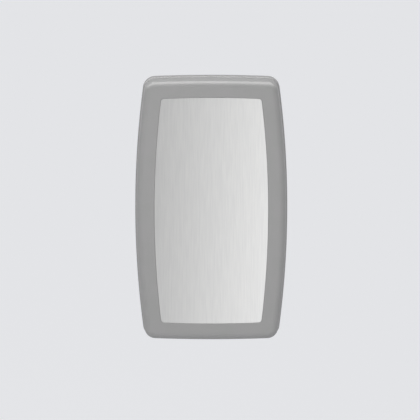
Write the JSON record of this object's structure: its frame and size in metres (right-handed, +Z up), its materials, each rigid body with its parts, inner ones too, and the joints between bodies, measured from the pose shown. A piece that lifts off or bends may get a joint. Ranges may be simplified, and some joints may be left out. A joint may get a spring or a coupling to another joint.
{
  "type": "baby changing station",
  "caption": "Vertical wall-hung changing station with bulging moulded sides and a let-in brushed steel panel; the bed folds down on a bottom hinge with a gas spring.",
  "frame": {"origin": "middle of the wall face", "axes": "+X to the right, +Y into the wall, +Z up"},
  "size_m": [0.512, 0.11, 0.888],
  "materials": {
    "hdpe_grey": "fine moulded texture",
    "stainless_panel": "vertical brushed grain",
    "zinc_steel": "bright zinc plate",
    "powder_steel": "black powder coat",
    "chromed_rod": "polished chrome",
    "black_nylon": "moulded nylon",
    "black_webbing": "woven nylon webbing",
    "black_rubber": "moulded rubber"
  },
  "bodies": {
    "wall_unit": {"wall_shell": "hdpe_grey", "chassis_rail_left": "zinc_steel", "chassis_rail_right": "zinc_steel", "chassis_bar_top": "zinc_steel", "chassis_bar_middle": "zinc_steel", "chassis_bar_lower": "zinc_steel", "chassis_bar_bottom": "zinc_steel", "mount_spacer_1": "zinc_steel", "mount_spacer_2": "zinc_steel", "mount_spacer_3": "zinc_steel", "mount_spacer_4": "zinc_steel", "mount_spacer_5": "zinc_steel", "mount_spacer_6": "zinc_steel", "hinge_wall_leaf": "zinc_steel", "hinge_pin": "zinc_steel", "hinge_washer_1": "black_nylon", "hinge_washer_2": "black_nylon", "hinge_washer_3": "black_nylon", "hinge_washer_4": "black_nylon", "gas_bracket": "zinc_steel", "gas_stud": "zinc_steel", "liner_tray": "hdpe_grey", "liner_pin": "zinc_steel", "bag_hook_left": "hdpe_grey", "bag_hook_right": "hdpe_grey", "closing_bumper_1": "black_rubber", "closing_bumper_2": "black_rubber", "closing_bumper_3": "black_rubber", "closing_bumper_4": "black_rubber"},
    "bed": {"bed_shell": "hdpe_grey", "steel_panel": "stainless_panel", "bed_pan": "hdpe_grey", "hinge_bed_leaf": "zinc_steel", "bed_rail_left": "zinc_steel", "bed_rail_right": "zinc_steel", "bed_brace_upper": "zinc_steel", "bed_brace_middle": "zinc_steel", "gas_lever": "zinc_steel", "strap_anchor_left": "black_nylon", "strap_anchor_right": "black_nylon", "strap_left": "black_webbing", "strap_right": "black_webbing", "buckle_base": "black_nylon", "buckle_pin": "zinc_steel"},
    "liner_door": {"liner_door": "hdpe_grey"},
    "buckle_lever": {"buckle_lever": "black_nylon"},
    "gas_cylinder": {"gas_cylinder": "powder_steel", "gas_tail_eye": "zinc_steel"},
    "gas_rod": {"gas_rod": "chromed_rod", "gas_rod_eye": "zinc_steel", "gas_rod_pin": "zinc_steel"}
  },
  "joints": [
    {"name": "bed_fold", "type": "hinge", "parent": "wall_unit", "child": "bed", "pos_m": [0, -0.03, -0.42], "axis": [1, 0, 0], "range_deg": [0, 90], "stiffness_Nm_per_rad": 8, "springref_deg": -51.57},
    {"name": "gas_cylinder_swing", "type": "hinge", "parent": "wall_unit", "child": "gas_cylinder", "pos_m": [0.16, -0.013, -0.23], "axis": [1, 0, 0], "range_deg": [-0.2, 0]},
    {"name": "gas_rod_slide", "type": "slide", "parent": "gas_cylinder", "child": "gas_rod", "axis": [0, 0.0211, 0.9998], "range_m": [0, 0.026]},
    {"name": "liner_door_tilt", "type": "hinge", "parent": "wall_unit", "child": "liner_door", "pos_m": [0, -0.0204, 0.2748], "axis": [1, 0, 0], "range_deg": [0, 30]},
    {"name": "buckle_lever_lift", "type": "hinge", "parent": "bed", "child": "buckle_lever", "pos_m": [-0.008, -0.0833, 0], "axis": [0, 0, 1], "range_deg": [0, 70]}
  ],
  "couplings": [
    {"joint": "gas_cylinder_swing", "follows": "bed_fold", "ratio": -0.001925},
    {"joint": "gas_rod_slide", "follows": "bed_fold", "m_per_rad": 0.016202}
  ]
}
